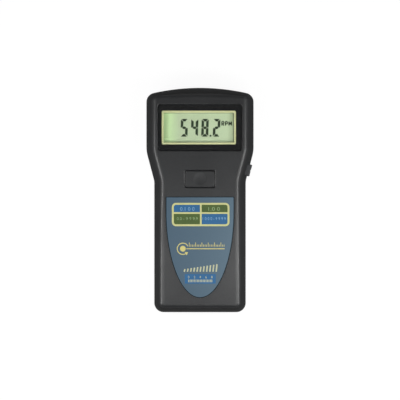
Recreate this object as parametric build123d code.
from build123d import *
from math import atan2, cos, degrees, sin, sqrt, tan
import os

# A hand-held digital tachometer, lying on its flat back. Millimetres.
# X runs across the case, Y towards the lens end, Z up out of the display.
# The origin is in the middle of the back, on the surface that the back rests on.

# Outline of the case, seen from the front
case_length = 157.0
head_width = 75.0
grip_width = 64.0
shoulder_from_top = 44.5
waist_from_top = 65.3
top_rise = 4.8
top_corner_radius = 6.5
bottom_corner_radius = 6.5
shoulder_radius = 24.0
waist_radius = 11.0
plateau_corner_radius = 2.6
least_corner_radius = 0.6

# Depth of the two shells and the form of their edges
rear_depth = 22.0
front_depth = 15.0
wall = 2.2
plateau_inset = 6.0
plateau_top_inset = 6.4
plateau_top_rise = 0.6
plateau_edge_radius = 2.4
back_edge_radius = 4.5
inner_bevel_share = 0.59
seam_chamfer = 0.3
lip_height = 1.6
lip_inset = 1.2
lip_clearance = 0.1

# Display window, let into the front face
window_side_margin = 2.1
window_from_top = 12.15
window_height = 32.5
window_corner_radius = 2.0
window_thickness = 1.5
window_set_down = 0.1
window_clearance = 0.15
gasket_thickness = 0.3
gasket_width = 2.4
window_ledge_depth = 1.6
window_ledge_rim = 1.4
window_edge_break = 0.35

# Display frame and display glass, counted inwards from the window
frame_side_border = 3.7
frame_end_border = 4.6
frame_offset = -0.8
frame_rim = 1.25
frame_corner_radius = 0.8
frame_roof = 0.8
frame_wall = 1.3
frame_clearance = 0.3
glass_margin_side = 2.5
glass_margin_end = 3.0
glass_thickness = 2.8
glass_depth = 4.7
glass_clearance = 0.2
zebra_height = 2.3
zebra_width = 2.4
zebra_end_gap = 1.0

# Circuit board and the posts that carry it
board_thickness = 1.6
board_edge_gap = 2.0
board_hole_gap = 0.5
post_radius = 2.6
upper_post_from_side = 9.3
upper_post_below_frame = 5.6
lower_post_from_side = 13.5
lower_post_from_bottom = 20.0
board_screw_radius = 1.1
board_screw_length = 6.0
board_screw_head_radius = 2.1
board_screw_head_height = 1.4

# Case screws and the bosses that they hold together
case_boss_radius = 2.8
rear_boss_radius = 3.6
upper_boss_from_side = 8.2
upper_boss_from_top = 10.5
lower_boss_from_side = 9.5
lower_boss_above_bay = 8.5
boss_gap = 0.15
case_screw_radius = 1.3
case_screw_length = 19.0
case_screw_head_radius = 2.4
case_screw_head_height = 1.9
case_screw_head_z = 9.0
head_bore_clearance = 0.3
screw_hole_clearance = 0.2
thread_clearance = 0.03
pilot_beyond = 1.0
cross_length_share = 1.2
cross_width_share = 0.28
gusset_thickness = 1.2
gusset_height = 14.0

# Push button in the front face and its switch
front_opening_width = 21.4
front_opening_length = 12.4
front_opening_radius = 1.2
front_opening_from_window = 13.15
front_opening_break = 0.3
front_button_gap = 0.55
front_button_set_down = 0.3
front_button_travel = 0.8
front_button_edge = 0.5
front_dish_radius = 40.0
front_dish_depth = 0.25
flange_width = 1.6
flange_thickness = 1.3
flange_clearance = 0.3
stem_radius = 2.4

# Measuring button on the right slope and its switch
side_button_up_slope = 7.9
side_button_length = 8.3
side_button_height = 8.0
side_button_reach = 1.5
side_button_gap = 0.25
side_button_edge = 0.6
side_button_travel = 0.6
side_groove_width = 0.9
side_groove_depth = 0.3
side_flange_width = 1.1
side_flange_drop = 0.8
side_flange_thickness = 1.0

# The two push switches
switch_body = 6.0
switch_body_height = 3.5
side_switch_drop = 6.6
plunger_radius = 1.7
plunger_clearance = 0.1
plunger_show = 1.5
plunger_hidden = 0.5
plunger_stop_gap = 0.3

# Front label
label_below_button = 6.0
label_from_bottom = 10.8
label_half_width = 23.7
label_straight = 10.6
label_thickness = 0.2
label_recess = 0.3
label_gap = 0.5

# Battery cells and the bay that holds them
cell_radius = 7.1
cell_length = 50.5
cell_nub_radius = 2.75
cell_nub_height = 1.0
cell_edge = 0.5
cell_count = 4
cell_pitch = 14.5
cell_gap = 0.4
bay_roof = 1.5
cradle_thickness = 1.5
cradle_spread = 14.0
cradle_depth = 5.0
contact_thickness = 0.4
contact_width = 6.0
contact_height = 12.0
contact_foot = 2.4
contact_crest = 1.0
leaf_tip_rise = 3.0
contact_rib_depth = 1.1
contact_rib_gap = 0.2
tail_width = 3.0
tail_jog_above_bay = 2.0
tail_board_inset = 1.5
tail_slot_gap = 0.3

# Sliding battery cover
cover_side_margin = 1.5
cover_gap = 0.2
cover_lip_height = 12.0
cover_tongue = 1.2
cover_tongue_thickness = 0.9
cover_ledge = 1.2
tab_length = 5.0
tab_height = 1.6
grip_groove_count = 6
grip_groove_pitch = 2.6
grip_groove_width = 1.2
grip_groove_depth = 0.5
grip_length = 24.0
grip_from_edge = 7.0

# Lens end
optics_height = 12.5
bezel_width = 42.0
bezel_height = 13.0
bezel_corner_radius = 2.5
bezel_gap = 0.15
bezel_set_back = 0.4
bezel_flange_side = 2.0
bezel_flange_end = 1.3
bezel_flange_thickness = 1.5
receiver_x = -9.0
receiver_opening = 10.4
lens_radius = 5.8
lens_seat_depth = 1.1
lens_edge_thickness = 1.5
lens_front_sag = 1.2
lens_back_sag = 1.6
lens_shoulder = 0.7
lens_clearance = 0.1
laser_x = 11.5
laser_aperture_radius = 2.5
laser_flare = 1.0

# Optics block, light sensor and light source
block_width = 38.0
block_height = 15.0
block_length = 20.0
block_gap = 0.3
block_corner = 1.5
light_path_depth = 3.0
light_path_end_radius = 2.6
sensor_radius = 2.5
sensor_length = 6.0
sensor_dome = 2.0
sensor_collar = 0.4
sensor_collar_length = 1.0
fit_clearance = 0.05
barrel_radius = 4.0
barrel_length = 20.0
barrel_stand_out = 0.8
barrel_bore_radius = 2.0
barrel_edge = 0.4
laser_lens_radius = 2.8
laser_lens_thickness = 1.6
laser_lens_dome = 0.8
diode_radius = 2.8
diode_length = 3.5
lead_size = 0.5
lead_spread = 1.3
lead_run = 2.5
ear_width = 7.0
ear_length = 7.0
ear_thickness = 3.0
ear_from_front = 12.0
ear_post_radius = 3.2
ear_post_height = 3.6
holder_screw_length = 6.0

# Parts soldered to the board
chip_size = 14.0
chip_thickness = 2.2
chip_stand_off = 0.1
chip_corner = 0.8
chip_from_top = 45.5
chip_lead_count = 6
chip_lead_pitch = 1.7
chip_lead_width = 0.5
chip_lead_thickness = 0.3
chip_lead_reach = 1.4
crystal_length = 10.5
crystal_width = 4.0
crystal_height = 3.6
crystal_edge = 0.6
crystal_x = -17.5
crystal_from_chip = 10.0
capacitor_radius = 3.2
capacitor_height = 7.0
capacitor_edge = 0.5
capacitor_x = -12.0
capacitor_below_chip = 24.0
resistor_length = 3.2
resistor_width = 1.6
resistor_height = 0.7
resistor_count = 6
resistor_pitch = 4.0
resistor_below_chip = 12.5

# How far a cutting shape stands out past the face that it cuts
overcut = 1.0

# Places that follow from the sizes above
top_y = case_length / 2
bottom_y = -case_length / 2
shoulder_y = top_y - shoulder_from_top
waist_y = top_y - waist_from_top
seam_z = rear_depth
front_z = rear_depth + front_depth
ceiling_z = front_z - wall
taper = atan2((head_width - grip_width) / 2, shoulder_y - waist_y)
rim_slope = plateau_inset / front_depth

window_width = head_width - 2 * (plateau_inset + window_side_margin)
window_y = top_y - window_from_top - window_height / 2
window_top_z = front_z - window_set_down
window_floor_z = window_top_z - window_thickness - gasket_thickness
ledge_z = window_floor_z - window_ledge_depth

lip_width = window_width - 2 * frame_side_border
lip_length = window_height - 2 * frame_end_border
view_width = lip_width - 2 * frame_rim
view_length = lip_length - 2 * frame_rim
glass_width = view_width + 2 * glass_margin_side
glass_length = view_length + 2 * glass_margin_end
glass_top_z = front_z - glass_depth
glass_bottom_z = glass_top_z - glass_thickness
frame_top_z = window_floor_z
frame_shoulder_z = glass_top_z + frame_roof
frame_width = glass_width + 2 * (frame_wall + glass_clearance)
frame_length = glass_length + 2 * (frame_wall + glass_clearance)
board_top_z = glass_bottom_z - zebra_height
board_bottom_z = board_top_z - board_thickness

front_opening_top_y = window_y - window_height / 2 - front_opening_from_window
front_button_y = front_opening_top_y - front_opening_length / 2
front_button_top_z = front_z - front_button_set_down
label_top_y = front_button_y - front_opening_length / 2 - label_below_button
label_bottom_y = bottom_y + label_from_bottom

bay_half_width = grip_width / 2 - wall
cell_z = wall + cell_gap + cell_radius
bay_roof_z = cell_z + cell_radius + cell_gap
cell_face = bay_half_width - contact_thickness
contact_space = 2 * cell_face - cell_length
inner_corner_radius = bottom_corner_radius - wall
past_corner = max(0.0, inner_corner_radius - contact_thickness - cell_nub_height)
corner_rise = inner_corner_radius - sqrt(inner_corner_radius ** 2 - past_corner ** 2)
first_cell_reach = max(cell_radius + corner_rise, contact_width / 2 + inner_corner_radius)
first_cell_y = bottom_y + wall + cell_gap + first_cell_reach
cell_ys = [first_cell_y + cell_pitch * index for index in range(cell_count)]
cusp_ys = [y + cell_pitch / 2 for y in cell_ys[:-1]]
bay_top_y = cell_ys[-1] + cell_radius + cell_gap
cover_half_width = grip_width / 2 - back_edge_radius - cover_side_margin

side_button_x = grip_width / 2 + side_button_up_slope * sin(taper)
side_button_y = waist_y + side_button_up_slope * cos(taper)
slope_frame = Pos(side_button_x, side_button_y, seam_z) * Rot(0, 0, -degrees(taper))
side_flange_top = side_button_height / 2 - side_flange_drop
side_flange_x = -(wall + rim_slope * side_flange_top + flange_clearance)
side_button_back = side_flange_x - side_flange_thickness

chip_y = top_y - chip_from_top


# Shared shapes

def blend(low, high, share):
    """Value at a share of the way from low to high."""
    return low + (high - low) * share


def lift_at(z):
    """Share of the way up the sloped rim, 0 at the seam and 1 at the front face."""
    return (z - seam_z) / front_depth


def round_at(face, y, radius):
    """Round the corners of a flat face that lie at one height y."""
    corners = [corner for corner in face.vertices() if abs(corner.Y - y) < 0.001]
    return fillet(corners, max(radius, least_corner_radius))


def case_section(inset=0.0, lift=0.0):
    """Flat outline of the case, set in from its outer skin, at one level of the sloped rim."""
    shrink = inset + plateau_inset * lift
    half_head = head_width / 2 - shrink
    half_grip = grip_width / 2 - shrink
    turn = shrink * tan(taper / 2)
    low_y = bottom_y + shrink
    high_y = top_y - inset - plateau_top_inset * lift
    narrowing = half_head / (half_head + inset)
    corner_y = high_y - blend(top_rise, plateau_top_rise, lift) * narrowing ** 2
    right_side = [
        (half_grip, low_y),
        (half_grip, waist_y + turn),
        (half_head, shoulder_y + turn),
        (half_head, corner_y),
    ]
    left_side = [(-x, y) for x, y in reversed(right_side)]
    sides = Polyline(*left_side, *right_side)
    end = ThreePointArc((half_head, corner_y), (0, high_y), (-half_head, corner_y))
    face = make_face(sides.edges() + end.edges())
    low_radius = blend(bottom_corner_radius, plateau_corner_radius, lift) - inset
    high_radius = blend(top_corner_radius, plateau_corner_radius, lift) - inset
    face = round_at(face, low_y, low_radius)
    face = round_at(face, waist_y + turn, waist_radius + shrink)
    face = round_at(face, shoulder_y + turn, shoulder_radius - shrink)
    return round_at(face, corner_y, high_radius)


def case_slab(inset, low_z, high_z):
    """Straight-sided slab with the outline of the rear shell."""
    return extrude(Pos(0, 0, low_z) * case_section(inset), high_z - low_z)


def rim_block(inset, low_z, high_z):
    """Block between two levels of the sloped rim."""
    low = Pos(0, 0, low_z) * case_section(inset, lift_at(low_z))
    high = Pos(0, 0, high_z) * case_section(inset, lift_at(high_z))
    return loft([low.face(), high.face()], ruled=True)


def seam_bevel():
    """Narrow bevel of the front shell along the seam."""
    high_z = seam_z + seam_chamfer
    low = Pos(0, 0, seam_z) * case_section(seam_chamfer)
    high = Pos(0, 0, high_z) * case_section(0, lift_at(high_z))
    return loft([low.face(), high.face()], ruled=True)


def side_x(y):
    """Half width of the case along the seam, at height y, where the head narrows to the grip."""
    share = (y - waist_y) / (shoulder_y - waist_y)
    return blend(grip_width / 2, head_width / 2, min(max(share, 0.0), 1.0))


def top_end_y(x, inset=0.0):
    """Height y of the arched top end of the rear shell, at x."""
    half = head_width / 2
    radius = (half ** 2 + top_rise ** 2) / (2 * top_rise)
    return top_y - radius + sqrt((radius - inset) ** 2 - x ** 2)


def plate(width, length, low_z, high_z, radius=0.0):
    """Upright block with a rectangular outline, its corners rounded where a radius is given."""
    outline = RectangleRounded(width, length, radius) if radius else Rectangle(width, length)
    return extrude(Pos(0, 0, low_z) * outline, high_z - low_z)


def rod(radius, low_z, high_z):
    """Upright round bar."""
    return extrude(Pos(0, 0, low_z) * Circle(radius), high_z - low_z)


def rod_along_y(radius, low_y, high_y, x, z):
    """Round bar that lies along Y."""
    bar = extrude(Circle(radius), high_y - low_y)
    return Pos(x, low_y, z) * Rot(-90, 0, 0) * bar


def turned_along_y(profile, x, z):
    """Solid of revolution about a line along Y, from an outline of radius and y."""
    turned = revolve(make_face(profile), Axis.Y)
    return Pos(x, 0, z) * turned


def dome(rim_radius, rim_y, sag):
    """Arc of a round cap, from its rim to its middle on the axis; sag may point either way."""
    ball = (rim_radius ** 2 + sag ** 2) / (2 * sag)
    half = rim_radius / 2
    side = 1 if sag > 0 else -1
    half_y = rim_y + sag - ball + side * sqrt(ball ** 2 - half ** 2)
    return ThreePointArc((rim_radius, rim_y), (half, half_y), (0, rim_y + sag))


def band(points, thickness):
    """Flat outline of a folded strip, from its middle line."""
    edge = offset(Polyline(*points), amount=thickness / 2, side=Side.BOTH)
    return make_face(edge.edges())


def strip(points, thickness, width):
    """Folded sheet strip: its middle line in X and Z, its width along Y."""
    return Pos(0, width / 2, 0) * Rot(90, 0, 0) * extrude(band(points, thickness), width)


def pan_screw(radius, length, head_radius, head_height):
    """Screw that points up, its head below z = 0, with a cross recess in the head."""
    body = rod(head_radius, -head_height, 0) + rod(radius, 0, length)
    slot = Box(head_radius * cross_length_share, head_radius * cross_width_share, head_height)
    cross = Pos(0, 0, -head_height) * (slot + Rot(0, 0, 90) * slot)
    return body - cross


def mirrored(x, y):
    """The two places at x and at -x."""
    return [(x, y), (-x, y)]


# Places of the bosses and posts

case_boss_places = (
    mirrored(head_width / 2 - upper_boss_from_side, top_y - upper_boss_from_top)
    + mirrored(grip_width / 2 - lower_boss_from_side, bay_top_y + lower_boss_above_bay)
)
upper_post_y = window_y - frame_length / 2 - upper_post_below_frame
post_places = (
    mirrored(side_x(upper_post_y) - upper_post_from_side, upper_post_y)
    + mirrored(grip_width / 2 - lower_post_from_side, bottom_y + lower_post_from_bottom)
)


# Front shell

def flared_mouth(width, length, radius, edge_break):
    """Cutter that breaks the edge of an opening in the front face at 45 degrees."""
    low = Pos(0, 0, front_z - edge_break) * RectangleRounded(width, length, radius)
    grow = edge_break + overcut
    wide = RectangleRounded(width + 2 * grow, length + 2 * grow, radius + grow)
    high = Pos(0, 0, front_z + overcut) * wide
    return loft([low.face(), high.face()], ruled=True)


def window_opening_cut():
    """Recess for the window and the opening behind it for the display frame."""
    high_z = front_z + overcut
    recess = plate(window_width, window_height, window_floor_z, high_z, window_corner_radius)
    recess += flared_mouth(window_width, window_height, window_corner_radius, window_edge_break)
    inner_width = lip_width + 2 * frame_clearance
    inner_length = lip_length + 2 * frame_clearance
    low_z = ledge_z - overcut
    opening = plate(inner_width, inner_length, low_z, front_z, frame_corner_radius)
    return Pos(0, window_y, 0) * (recess + Pos(frame_offset, 0, 0) * opening)


def window_ledge():
    """Thicker rim inside the shell that carries the window."""
    width = window_width + 2 * window_ledge_rim
    length = window_height + 2 * window_ledge_rim
    return Pos(0, window_y, 0) * plate(width, length, ledge_z, ceiling_z, window_corner_radius)


def front_button_opening():
    """Cut through the front face for the push button."""
    low_z = ceiling_z - overcut
    high_z = front_z + overcut
    width = front_opening_width
    length = front_opening_length
    block = plate(width, length, low_z, high_z, front_opening_radius)
    block += flared_mouth(width, length, front_opening_radius, front_opening_break)
    return Pos(0, front_button_y, 0) * block


def side_button_opening():
    """Cut through both shells for the measuring button."""
    length = side_button_length + 2 * side_button_gap
    height = side_button_height + 2 * side_button_gap
    outline = RectangleRounded(length, height, side_button_edge)
    depth = side_button_reach - side_button_back
    return slope_frame * extrude(Plane.YZ.offset(side_button_back) * outline, depth)


def label_outline(grow=0.0):
    """Shield: straight sides that run into a half ellipse."""
    half = label_half_width + grow
    spring_y = label_top_y - label_straight
    drop = spring_y - label_bottom_y + grow
    top = label_top_y + grow
    sides = Polyline((-half, spring_y), (-half, top), (half, top), (half, spring_y))
    curve = EllipticalCenterArc((0, spring_y), half, drop, start_angle=180, arc_size=180)
    return make_face(sides.edges() + curve.edges())


def make_front_shell():
    outer = rim_block(0, seam_z + seam_chamfer, front_z)
    outer = fillet(outer.edges().group_by(Axis.Z)[-1], plateau_edge_radius)
    outer += seam_bevel()
    hollow = rim_block(wall, seam_z, ceiling_z)
    shell = outer - hollow
    lip_low_z = seam_z - lip_height
    shell += case_slab(lip_inset, lip_low_z, seam_z) - case_slab(wall, lip_low_z, seam_z)
    inside = [window_ledge()]
    for x, y in case_boss_places:
        boss = rod(case_boss_radius, seam_z + boss_gap, ceiling_z)
        inside.append(Pos(x, y, 0) * boss)
    for x, y in post_places:
        inside.append(Pos(x, y, 0) * rod(post_radius, board_top_z, ceiling_z))
    core = rim_block(wall / 2, seam_z, ceiling_z + wall / 2)
    shell += (Part() + inside) & core
    shell -= window_opening_cut()
    shell -= front_button_opening()
    recess = Pos(0, 0, front_z - label_recess) * label_outline(label_gap)
    shell -= extrude(recess, label_recess + overcut)
    shell -= side_button_opening()
    pilot_top_z = case_screw_head_z + case_screw_length + pilot_beyond
    pilot = rod(case_screw_radius + thread_clearance, seam_z, pilot_top_z)
    board_pilot_z = board_bottom_z + board_screw_length + pilot_beyond
    board_pilot = rod(board_screw_radius + thread_clearance, board_top_z - overcut, board_pilot_z)
    shell -= [Pos(x, y, 0) * pilot for x, y in case_boss_places]
    shell -= [Pos(x, y, 0) * board_pilot for x, y in post_places]
    return shell


def make_front_label():
    low_z = front_z - label_recess
    return extrude(Pos(0, 0, low_z) * label_outline(), label_thickness)


# Rear shell

def rear_skin():
    """Plain tray of the rear shell, with the rebate that takes the lip of the front shell."""
    outer = case_slab(0, 0, seam_z)
    outer = fillet(outer.edges().group_by(Axis.Z)[0], back_edge_radius)
    outer = chamfer(outer.edges().group_by(Axis.Z)[-1], seam_chamfer)
    hollow = case_slab(wall, wall, seam_z)
    inner_bevel = (back_edge_radius - wall) * inner_bevel_share
    hollow = chamfer(hollow.edges().group_by(Axis.Z)[0], inner_bevel)
    return outer - hollow


def cover_region(grow=0.0):
    """Space of the battery cover in the skin: the back of the bay and part of the bottom end."""
    low_y = bottom_y - overcut
    high_y = bay_top_y + grow
    width = 2 * (cover_half_width + grow)
    block = plate(width, high_y - low_y, -overcut, cover_lip_height + grow)
    return Pos(0, (low_y + high_y) / 2, 0) * block


def cover_rebate():
    """Groove round the bay for the tongues of the cover."""
    low_y = bottom_y - overcut
    reach = cover_tongue + cover_gap
    high_y = bay_top_y + reach
    block = plate(2 * (cover_half_width + reach), high_y - low_y, cover_ledge, wall)
    return Pos(0, (low_y + high_y) / 2, 0) * block


def bay_walls():
    """Roof, end wall and cradle ribs of the battery bay, and the tabs that hold the cover."""
    low_y = bottom_y + wall / 2
    high_y = bay_top_y + wall
    side = bay_half_width + wall / 2
    middle_y = (low_y + high_y) / 2
    roof = plate(2 * side, high_y - low_y, bay_roof_z, bay_roof_z + bay_roof)
    walls = Pos(0, middle_y, 0) * roof
    tab_z = wall + cover_gap
    walls += Pos(0, bay_top_y + wall / 2, 0) * plate(2 * side, wall, tab_z, bay_roof_z)
    rib_length = cusp_ys[-1] - cusp_ys[0] + cell_pitch
    rib_y = (cusp_ys[-1] + cusp_ys[0]) / 2
    rib = plate(cradle_thickness, rib_length, bay_roof_z - cradle_depth, bay_roof_z)
    walls += [Pos(x, rib_y, 0) * rib for x in (cradle_spread, -cradle_spread)]
    scoop = Rot(0, 90, 0) * Cylinder(cell_radius + cell_gap, 2 * side)
    walls -= [Pos(0, y, cell_z) * scoop for y in cell_ys]
    tab_width = side - cover_half_width
    tab = plate(tab_width, tab_length, tab_z, tab_z + tab_height)
    for y in cusp_ys:
        for x, y in mirrored(cover_half_width + tab_width / 2, y):
            walls += Pos(x, y, 0) * tab
    return walls + contact_ribs()


def contact_ribs():
    """Upright ribs on the side walls of the bay that hold the contacts apart."""
    rib_width = cell_pitch - contact_width - 2 * contact_rib_gap
    depth = contact_rib_depth + wall / 2
    rib = plate(depth, rib_width, wall + cover_gap, bay_roof_z)
    x = bay_half_width - contact_rib_depth + depth / 2
    ribs = Part()
    for index, y in enumerate(cusp_ys):
        side = 1 if index % 2 else -1
        ribs += Pos(side * x, y, 0) * rib
    return ribs


def tail_slots():
    """Slots in the roof of the bay for the tails of the two end contacts."""
    width = 2 * (contact_thickness + tail_slot_gap)
    length = tail_width + 2 * tail_slot_gap
    slot = plate(width, length, bay_roof_z - overcut, bay_roof_z + bay_roof + overcut)
    x = -(bay_half_width - contact_thickness / 2)
    return [Pos(x, y, 0) * slot for y in (cell_ys[0], cell_ys[-1])]


def gusset(x, y):
    """Web that ties an upper boss to the nearest side wall."""
    side = 1 if x > 0 else -1
    reach = head_width / 2 - wall / 2 - abs(x)
    web = plate(reach, gusset_thickness, wall / 2, gusset_height)
    return Pos(x + side * reach / 2, y, 0) * web


def make_rear_shell():
    shell = rear_skin()
    shell -= cover_region(cover_gap)
    shell -= cover_rebate()
    core = case_slab(wall / 2, wall / 2, seam_z)
    core = fillet(core.edges().group_by(Axis.Z)[0], back_edge_radius - wall / 2)
    walls = bay_walls()
    for x, y in case_boss_places:
        walls += Pos(x, y, 0) * rod(rear_boss_radius, wall / 2, seam_z)
    for x, y in case_boss_places[:2]:
        walls += gusset(x, y)
    for x, y in ear_places:
        walls += Pos(x, y, 0) * rod(ear_post_radius, wall / 2, ear_low_z)
    shell += walls & core
    shell -= case_slab(lip_inset - lip_clearance, seam_z - lip_height - lip_clearance, seam_z) & (
        case_slab(0, 0, seam_z) - case_slab(wall, 0, seam_z)
    )
    shell -= tail_slots()
    shell -= side_button_opening()
    shell -= lens_end_opening()
    head_bore = rod(case_screw_head_radius + head_bore_clearance, -overcut, case_screw_head_z)
    shank_bore = rod(case_screw_radius + screw_hole_clearance, 0, seam_z)
    shell -= [Pos(x, y, 0) * (head_bore + shank_bore) for x, y in case_boss_places]
    ear_pilot = rod(board_screw_radius + thread_clearance, wall, ear_low_z)
    shell -= [Pos(x, y, 0) * ear_pilot for x, y in ear_places]
    return shell


# Battery cover

def make_battery_cover():
    cover = rear_skin() & cover_region()
    tongue_low_z = wall - cover_tongue_thickness
    low_y = bottom_y + back_edge_radius
    high_y = bay_top_y + cover_tongue
    width = 2 * (cover_half_width + cover_tongue)
    tongue = plate(width, high_y - low_y, tongue_low_z, wall)
    cover += Pos(0, (low_y + high_y) / 2, 0) * tongue
    groove = plate(grip_length, grip_groove_width, -overcut, grip_groove_depth)
    first_y = bay_top_y - grip_from_edge
    for index in range(grip_groove_count):
        cover -= Pos(0, first_y - index * grip_groove_pitch, 0) * groove
    return cover


# Battery cells and contacts

def make_cell(index):
    """One cell, lying along X, turned end for end from its neighbour."""
    body_length = cell_length - cell_nub_height
    outline = Polyline(
        (0, 0),
        (cell_radius - cell_edge, 0),
        (cell_radius, cell_edge),
        (cell_radius, body_length - cell_edge),
        (cell_radius - cell_edge, body_length),
        (cell_nub_radius, body_length),
        (cell_nub_radius, cell_length),
        (0, cell_length),
        close=True,
    )
    cell = revolve(make_face(Plane.XZ * outline), Axis.Z)
    side = -1 if index % 2 else 1
    start = -side * (cell_face - contact_space)
    return Pos(start, cell_ys[index], cell_z) * Rot(0, side * 90, 0) * cell


def contact_plate(width):
    """Flat contact that stands against the left wall of the bay."""
    x = -bay_half_width + contact_thickness / 2
    low_z = contact_low_z
    return Pos(x, 0, 0) * plate(contact_thickness, width, low_z, low_z + contact_height)


def contact_leaf():
    """Sprung tongue that bows in from the left wall to the flat end of a cell."""
    wall_x = -bay_half_width + contact_thickness / 2
    crest_x = wall_x + contact_space
    low_z = contact_low_z + contact_thickness / 2
    points = [
        (wall_x, contact_low_z + contact_height),
        (wall_x, low_z),
        (wall_x + min(contact_foot, contact_space / 2), low_z),
        (crest_x, cell_z - contact_crest),
        (crest_x, cell_z + contact_crest),
        (wall_x + contact_space / 2, cell_z + leaf_tip_rise),
    ]
    return strip(points, contact_thickness, contact_width)


def contact_tail():
    """Tail that runs up through the roof of the bay and in to the board."""
    wall_x = -bay_half_width + contact_thickness / 2
    jog_z = bay_roof_z + bay_roof + tail_jog_above_bay
    board_half = grip_width / 2 - wall - board_edge_gap - plateau_inset * lift_at(board_top_z)
    end_x = -board_half + tail_board_inset
    points = [
        (wall_x, contact_low_z + contact_height / 2),
        (wall_x, jog_z),
        (end_x, jog_z),
        (end_x, board_bottom_z - contact_thickness / 2),
    ]
    return strip(points, contact_thickness, tail_width)


def make_negative_contact():
    return Pos(0, cell_ys[0], 0) * (contact_leaf() + contact_tail())


def make_positive_contact():
    return Pos(0, cell_ys[-1], 0) * (contact_plate(contact_width) + contact_tail())


def make_link_contact(index):
    """Contact that joins cell index to the next one; odd links are on the left."""
    link = contact_plate(contact_width + cell_pitch)
    link += Pos(0, cell_pitch / 2, 0) * contact_leaf()
    if index % 2 == 0:
        link = mirror(link, Plane.YZ)
    return Pos(0, cusp_ys[index], 0) * link


# Display

def make_display_window():
    width = window_width - 2 * window_clearance
    length = window_height - 2 * window_clearance
    low_z = window_top_z - window_thickness
    radius = window_corner_radius - window_clearance
    return Pos(0, window_y, 0) * plate(width, length, low_z, window_top_z, radius)


def make_window_gasket():
    width = window_width - 2 * window_clearance
    length = window_height - 2 * window_clearance
    high_z = window_floor_z + gasket_thickness
    ring = plate(width, length, window_floor_z, high_z, window_corner_radius)
    inner_width = width - 2 * gasket_width
    inner_length = length - 2 * gasket_width
    return Pos(0, window_y, 0) * (ring - plate(inner_width, inner_length, window_floor_z, high_z))


def make_lcd_frame():
    body = plate(frame_width, frame_length, board_top_z, frame_shoulder_z, frame_corner_radius)
    lip = plate(lip_width, lip_length, frame_shoulder_z, frame_top_z, frame_corner_radius)
    view = plate(view_width, view_length, board_top_z, frame_top_z)
    pocket_width = glass_width + 2 * glass_clearance
    pocket_length = glass_length + 2 * glass_clearance
    pocket = plate(pocket_width, pocket_length, board_top_z, glass_top_z)
    return Pos(frame_offset, window_y, 0) * (body + lip - view - pocket)


def make_lcd_panel():
    """Two glass plates: the rear one is longer, and its edge carries the contacts."""
    half = glass_thickness / 2
    rear = plate(glass_width, glass_length, glass_bottom_z, glass_bottom_z + half)
    front = plate(glass_width, glass_length - 2 * zebra_width, glass_bottom_z + half, glass_top_z)
    return Pos(frame_offset, window_y, 0) * (rear + front)


def make_zebra_strip(side):
    y = window_y + side * (glass_length / 2 - zebra_width / 2)
    length = glass_width - 2 * zebra_end_gap
    return Pos(frame_offset, y, 0) * plate(length, zebra_width, board_top_z, glass_bottom_z)


# Board and what is soldered to it

def make_main_board():
    outline = case_section(wall + board_edge_gap, lift_at(board_top_z))
    board = extrude(Pos(0, 0, board_bottom_z) * outline, board_thickness)
    boss_hole = rod(case_boss_radius + board_hole_gap, board_bottom_z, board_top_z)
    screw_hole = rod(board_screw_radius + screw_hole_clearance, board_bottom_z, board_top_z)
    board -= [Pos(x, y, 0) * boss_hole for x, y in case_boss_places]
    board -= [Pos(x, y, 0) * screw_hole for x, y in post_places]
    return board


def make_controller_chip():
    high_z = board_bottom_z - chip_stand_off
    body = plate(chip_size, chip_size, high_z - chip_thickness, high_z)
    body = chamfer(body.edges().filter_by(Axis.Z), chip_corner)
    middle_z = high_z - chip_thickness / 2
    arm = Box(chip_lead_reach, chip_lead_width, chip_lead_thickness)
    foot_height = board_bottom_z - middle_z
    foot = Box(chip_lead_thickness, chip_lead_width, foot_height)
    foot = Pos((chip_lead_reach - chip_lead_thickness) / 2, 0, foot_height / 2) * foot
    lead = Pos(chip_size / 2 + chip_lead_reach / 2, 0, middle_z) * (arm + foot)
    row = Part()
    for index in range(chip_lead_count):
        shift = (index - (chip_lead_count - 1) / 2) * chip_lead_pitch
        row += Pos(0, shift, 0) * lead
    for turn in range(4):
        body += Rot(0, 0, 90 * turn) * row
    return Pos(0, chip_y, 0) * body


def make_quartz_crystal():
    outline = Pos(0, 0, board_bottom_z - crystal_height) * SlotOverall(crystal_length, crystal_width)
    can = extrude(outline, crystal_height)
    can = chamfer(can.edges().group_by(Axis.Z)[0], crystal_edge)
    return Pos(crystal_x, chip_y - crystal_from_chip, 0) * can


def make_electrolytic_capacitor():
    can = rod(capacitor_radius, board_bottom_z - capacitor_height, board_bottom_z)
    can = chamfer(can.edges().group_by(Axis.Z)[0], capacitor_edge)
    return Pos(capacitor_x, chip_y - capacitor_below_chip, 0) * can


def make_board_resistors():
    low_z = board_bottom_z - resistor_height
    chip = plate(resistor_width, resistor_length, low_z, board_bottom_z)
    y = chip_y - resistor_below_chip
    first_x = -resistor_pitch * (resistor_count - 1) / 2
    places = [first_x + resistor_pitch * index for index in range(resistor_count)]
    return Compound([Pos(x, y, 0) * chip.solid() for x in places])


# Front push button

def make_memory_button():
    cap_width = front_opening_width - 2 * front_button_gap
    cap_length = front_opening_length - 2 * front_button_gap
    flange_top_z = ceiling_z - flange_clearance
    flange_low_z = flange_top_z - flange_thickness
    radius = front_opening_radius - front_button_gap / 2
    cap = plate(cap_width, cap_length, flange_low_z, front_button_top_z, radius)
    cap = fillet(cap.edges().group_by(Axis.Z)[-1], front_button_edge)
    dish_z = front_button_top_z + front_dish_radius - front_dish_depth
    cap -= Pos(0, 0, dish_z) * Sphere(front_dish_radius)
    flange_full = front_opening_width + 2 * flange_width
    flange_long = front_opening_length + 2 * flange_width
    cap += plate(flange_full, flange_long, flange_low_z, flange_top_z, radius)
    cap += rod(stem_radius, front_plunger_z, flange_low_z)
    return Pos(0, front_button_y, 0) * cap


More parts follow.
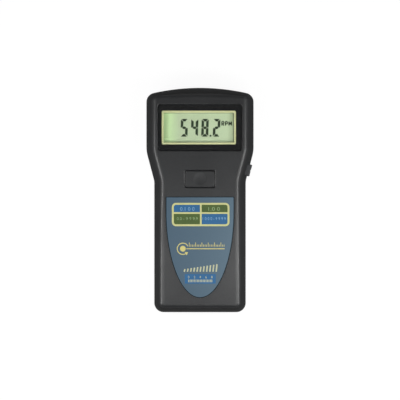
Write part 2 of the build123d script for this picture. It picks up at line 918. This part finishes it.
def make_memory_switch_base():
    high_z = board_top_z + switch_body_height
    body = plate(switch_body, switch_body, board_top_z, high_z)
    low_z = high_z - plunger_hidden - front_button_travel - plunger_stop_gap
    body -= rod(plunger_radius + plunger_clearance, low_z, high_z)
    return Pos(0, front_button_y, 0) * body


def make_memory_switch_plunger():
    low_z = board_top_z + switch_body_height - plunger_hidden
    return Pos(0, front_button_y, 0) * rod(plunger_radius, low_z, front_plunger_z)


# Measuring button. Its own X points out of the slope, Y up the slope and Z up.

def bar_out(radius, low_x, high_x):
    """Round bar along the push direction of the measuring button."""
    return extrude(Plane.YZ.offset(low_x) * Circle(radius), high_x - low_x)


def make_measuring_button():
    depth = side_button_reach - side_button_back
    outline = RectangleRounded(side_button_length, side_button_height, side_button_edge)
    cap = extrude(Plane.YZ.offset(side_button_back) * outline, depth)
    cap = fillet(cap.edges().group_by(Axis.X)[-1], side_button_edge)
    groove = Box(2 * side_groove_depth, side_groove_width, side_button_height)
    cap -= Pos(side_button_reach, 0, 0) * groove
    flange_length = side_button_length + 2 * side_flange_width
    flange_low_z = -side_button_height / 2 - side_flange_width
    flange_height = side_flange_top - flange_low_z
    flange = Box(side_flange_thickness, flange_length, flange_height)
    flange_x = side_button_back + side_flange_thickness / 2
    cap += Pos(flange_x, 0, (side_flange_top + flange_low_z) / 2) * flange
    return slope_frame * cap


def make_measuring_switch_base():
    face_x = side_button_back - plunger_show
    back_x = face_x - switch_body_height
    low_z = board_bottom_z - side_switch_drop - seam_z
    height = board_bottom_z - seam_z - low_z
    body = Box(switch_body_height, switch_body, height)
    body = Pos((face_x + back_x) / 2, 0, low_z + height / 2) * body
    bore_x = face_x - plunger_hidden - side_button_travel - plunger_stop_gap
    body -= bar_out(plunger_radius + plunger_clearance, bore_x, face_x)
    return slope_frame * body


def make_measuring_switch_plunger():
    low_x = side_button_back - plunger_show - plunger_hidden
    return slope_frame * bar_out(plunger_radius, low_x, side_button_back)


# Lens end

optics_front_y = top_end_y(receiver_x) - bezel_set_back
lens_seat_y = optics_front_y - lens_seat_depth
lens_back_y = lens_seat_y - lens_edge_thickness
flange_depth = wall + fit_clearance + bezel_flange_thickness
block_front_y = top_end_y(block_width / 2, flange_depth) - block_gap
block_back_y = block_front_y - block_length
barrel_front_y = block_front_y + barrel_stand_out
ear_low_z = wall + ear_post_height
ear_places = mirrored(block_width / 2 + ear_width / 2, block_front_y - ear_from_front)
contact_low_z = back_edge_radius + contact_rib_gap
front_plunger_z = board_top_z + switch_body_height + plunger_show


def lens_end_prism(grow, side=0.0, end=0.0):
    """Rounded bar along Y that outlines the bezel in the end wall."""
    width = bezel_width + 2 * (side + grow)
    height = bezel_height + 2 * (end + grow)
    outline = RectangleRounded(width, height, bezel_corner_radius)
    bar = extrude(Plane.XZ.offset(-top_y - overcut) * outline, top_rise + flange_depth + 2 * overcut)
    return Pos(0, 0, optics_height) * bar


def lens_end_opening():
    """Opening for the bezel in the end wall of the rear shell."""
    skin = case_slab(-overcut, 0, seam_z) - case_slab(wall + overcut, 0, seam_z)
    return lens_end_prism(0) & skin


def make_optics_bezel():
    flange_mid = wall + bezel_flange_thickness / 2
    boss_skin = case_slab(bezel_set_back, 0, seam_z) - case_slab(flange_mid, 0, seam_z)
    boss = lens_end_prism(-bezel_gap) & boss_skin
    flange_skin = case_slab(wall + fit_clearance, 0, seam_z) - case_slab(flange_depth, 0, seam_z)
    flange = lens_end_prism(0, bezel_flange_side, bezel_flange_end) & flange_skin
    bezel = boss + flange
    far_y = top_y + overcut
    near_y = block_back_y
    bezel -= rod_along_y(receiver_opening / 2, near_y, far_y, receiver_x, optics_height)
    seat = rod_along_y(lens_radius + lens_clearance, near_y, lens_seat_y, receiver_x, optics_height)
    bezel -= seat
    bezel -= rod_along_y(laser_aperture_radius, near_y, far_y, laser_x, optics_height)
    face_y = top_end_y(laser_x) - bezel_set_back
    outline = Polyline(
        (0, face_y - laser_flare),
        (laser_aperture_radius, face_y - laser_flare),
        (laser_aperture_radius + 2 * laser_flare, face_y + laser_flare),
        (0, face_y + laser_flare),
        close=True,
    )
    return bezel - turned_along_y(outline, laser_x, optics_height)


def make_receiver_lens():
    """Lens with a curved front and back and a flat rim that seats in the bezel."""
    rim = lens_radius - lens_shoulder
    edges = [
        dome(rim, lens_seat_y, lens_front_sag),
        Line((rim, lens_seat_y), (lens_radius, lens_seat_y)),
        Line((lens_radius, lens_seat_y), (lens_radius, lens_back_y)),
        Line((lens_radius, lens_back_y), (rim, lens_back_y)),
        dome(rim, lens_back_y, -lens_back_sag),
        Line((0, lens_back_y - lens_back_sag), (0, lens_seat_y + lens_front_sag)),
    ]
    return turned_along_y(edges, receiver_x, optics_height)


def make_optics_holder():
    low_z = optics_height - block_height / 2
    high_z = optics_height + block_height / 2
    middle_y = (block_front_y + block_back_y) / 2
    block = Pos(0, middle_y, 0) * plate(block_width, block_length, low_z, high_z)
    block = fillet(block.edges().filter_by(Axis.Z), block_corner)
    block += rod_along_y(lens_radius, middle_y, lens_back_y, receiver_x, optics_height)
    ear = plate(ear_width * 2, ear_length, ear_low_z, ear_low_z + ear_thickness)
    for x, y in ear_places:
        side = 1 if x > 0 else -1
        block += Pos(x - side * ear_width / 2, y, 0) * ear
    sensor_y = block_back_y + sensor_length
    path = Polyline(
        (0, lens_back_y),
        (lens_radius - lens_shoulder, lens_back_y),
        (lens_radius - lens_shoulder, lens_back_y - light_path_depth),
        (light_path_end_radius, sensor_y),
        (0, sensor_y),
        close=True,
    )
    block -= turned_along_y(path, receiver_x, optics_height)
    sensor_bore = sensor_radius + fit_clearance
    block -= rod_along_y(sensor_bore, block_back_y, sensor_y, receiver_x, optics_height)
    barrel_bore = barrel_radius + fit_clearance
    block -= rod_along_y(barrel_bore, block_back_y, block_front_y, laser_x, optics_height)
    hole = rod(board_screw_radius + screw_hole_clearance, ear_low_z, ear_low_z + ear_thickness)
    return block - [Pos(x, y, 0) * hole for x, y in ear_places]


def lead_pair(start_y):
    """Two wire legs that leave backwards, turn up and end at the board."""
    points = [
        (start_y, optics_height),
        (start_y - lead_run, optics_height),
        (start_y - lead_run, board_bottom_z - lead_size / 2),
    ]
    leg = extrude(Plane.YZ.offset(-lead_size / 2) * band(points, lead_size), lead_size)
    return [Pos(x, 0, 0) * leg for x in (lead_spread, -lead_spread)]


def make_photo_sensor():
    """Domed light sensor with a collar and two legs."""
    tip_y = block_back_y + sensor_length
    shoulder_y = tip_y - sensor_dome
    collar_y = block_back_y - sensor_collar_length
    collar = sensor_radius + sensor_collar
    outline = Polyline(
        (0, tip_y),
        (0, collar_y),
        (collar, collar_y),
        (collar, block_back_y),
        (sensor_radius, block_back_y),
        (sensor_radius, shoulder_y),
    )
    edges = outline.edges() + [dome(sensor_radius, shoulder_y, sensor_dome)]
    sensor = turned_along_y(edges, 0, optics_height)
    for leg in lead_pair(collar_y + lead_size):
        sensor += leg
    return Pos(receiver_x, 0, 0) * sensor


def make_laser_barrel():
    back_y = barrel_front_y - barrel_length
    barrel = rod_along_y(barrel_radius, back_y, barrel_front_y, laser_x, optics_height)
    barrel = chamfer(barrel.edges().group_by(Axis.Y)[-1], barrel_edge)
    bores = [
        (barrel_bore_radius, back_y, barrel_front_y),
        (laser_lens_radius + fit_clearance, barrel_front_y - laser_lens_thickness, barrel_front_y),
        (diode_radius + fit_clearance, back_y, back_y + diode_length),
    ]
    for radius, low_y, high_y in bores:
        barrel -= rod_along_y(radius, low_y, high_y, laser_x, optics_height)
    return barrel


def make_laser_lens():
    """Small lens, flat behind and domed in front."""
    back_y = barrel_front_y - laser_lens_thickness
    rim_y = barrel_front_y - laser_lens_dome
    radius = laser_lens_radius
    outline = Polyline((0, barrel_front_y), (0, back_y), (radius, back_y), (radius, rim_y))
    edges = outline.edges() + [dome(radius, rim_y, laser_lens_dome)]
    return turned_along_y(edges, laser_x, optics_height)


def make_laser_diode():
    back_y = barrel_front_y - barrel_length
    can = rod_along_y(diode_radius, back_y, back_y + diode_length, 0, optics_height)
    for leg in lead_pair(back_y + lead_size):
        can += leg
    return Pos(laser_x, 0, 0) * can


# Fasteners, each kind in one node

def screws_at(places, screw):
    return Compound([Pos(x, y, 0) * screw.solid() for x, y in places])


def make_case_screws():
    screw = pan_screw(
        case_screw_radius, case_screw_length, case_screw_head_radius, case_screw_head_height
    )
    return screws_at(case_boss_places, Pos(0, 0, case_screw_head_z) * screw)


def small_screw(length):
    return pan_screw(board_screw_radius, length, board_screw_head_radius, board_screw_head_height)


def make_board_screws():
    return screws_at(post_places, Pos(0, 0, board_bottom_z) * small_screw(board_screw_length))


def make_holder_screws():
    seat_z = ear_low_z + ear_thickness
    turned = Pos(0, 0, seat_z) * Rot(180, 0, 0) * small_screw(holder_screw_length)
    return screws_at(ear_places, turned)


# All nodes

def make_all():
    nodes = {
        "front_shell": make_front_shell(),
        "rear_shell": make_rear_shell(),
        "battery_cover": make_battery_cover(),
        "front_label": make_front_label(),
        "display_window": make_display_window(),
        "window_gasket": make_window_gasket(),
        "lcd_frame": make_lcd_frame(),
        "lcd_panel": make_lcd_panel(),
        "zebra_strip_upper": make_zebra_strip(1),
        "zebra_strip_lower": make_zebra_strip(-1),
        "main_board": make_main_board(),
        "controller_chip": make_controller_chip(),
        "quartz_crystal": make_quartz_crystal(),
        "electrolytic_capacitor": make_electrolytic_capacitor(),
        "board_resistors": make_board_resistors(),
        "memory_button": make_memory_button(),
        "memory_switch_base": make_memory_switch_base(),
        "memory_switch_plunger": make_memory_switch_plunger(),
        "measuring_button": make_measuring_button(),
        "measuring_switch_base": make_measuring_switch_base(),
        "measuring_switch_plunger": make_measuring_switch_plunger(),
        "optics_bezel": make_optics_bezel(),
        "receiver_lens": make_receiver_lens(),
        "optics_holder": make_optics_holder(),
        "photo_sensor": make_photo_sensor(),
        "laser_barrel": make_laser_barrel(),
        "laser_lens": make_laser_lens(),
        "laser_diode": make_laser_diode(),
        "negative_contact": make_negative_contact(),
        "positive_contact": make_positive_contact(),
        "case_screws": make_case_screws(),
        "board_screws": make_board_screws(),
        "holder_screws": make_holder_screws(),
    }
    for index in range(cell_count):
        nodes[f"battery_cell_{index + 1}"] = make_cell(index)
    for index in range(cell_count - 1):
        nodes[f"link_contact_{index + 1}"] = make_link_contact(index)
    return nodes


def main():
    os.makedirs("parts", exist_ok=True)
    for name, shape in make_all().items():
        export_step(shape, f"parts/{name}.step")
        print(name, round(shape.volume, 1))


main()
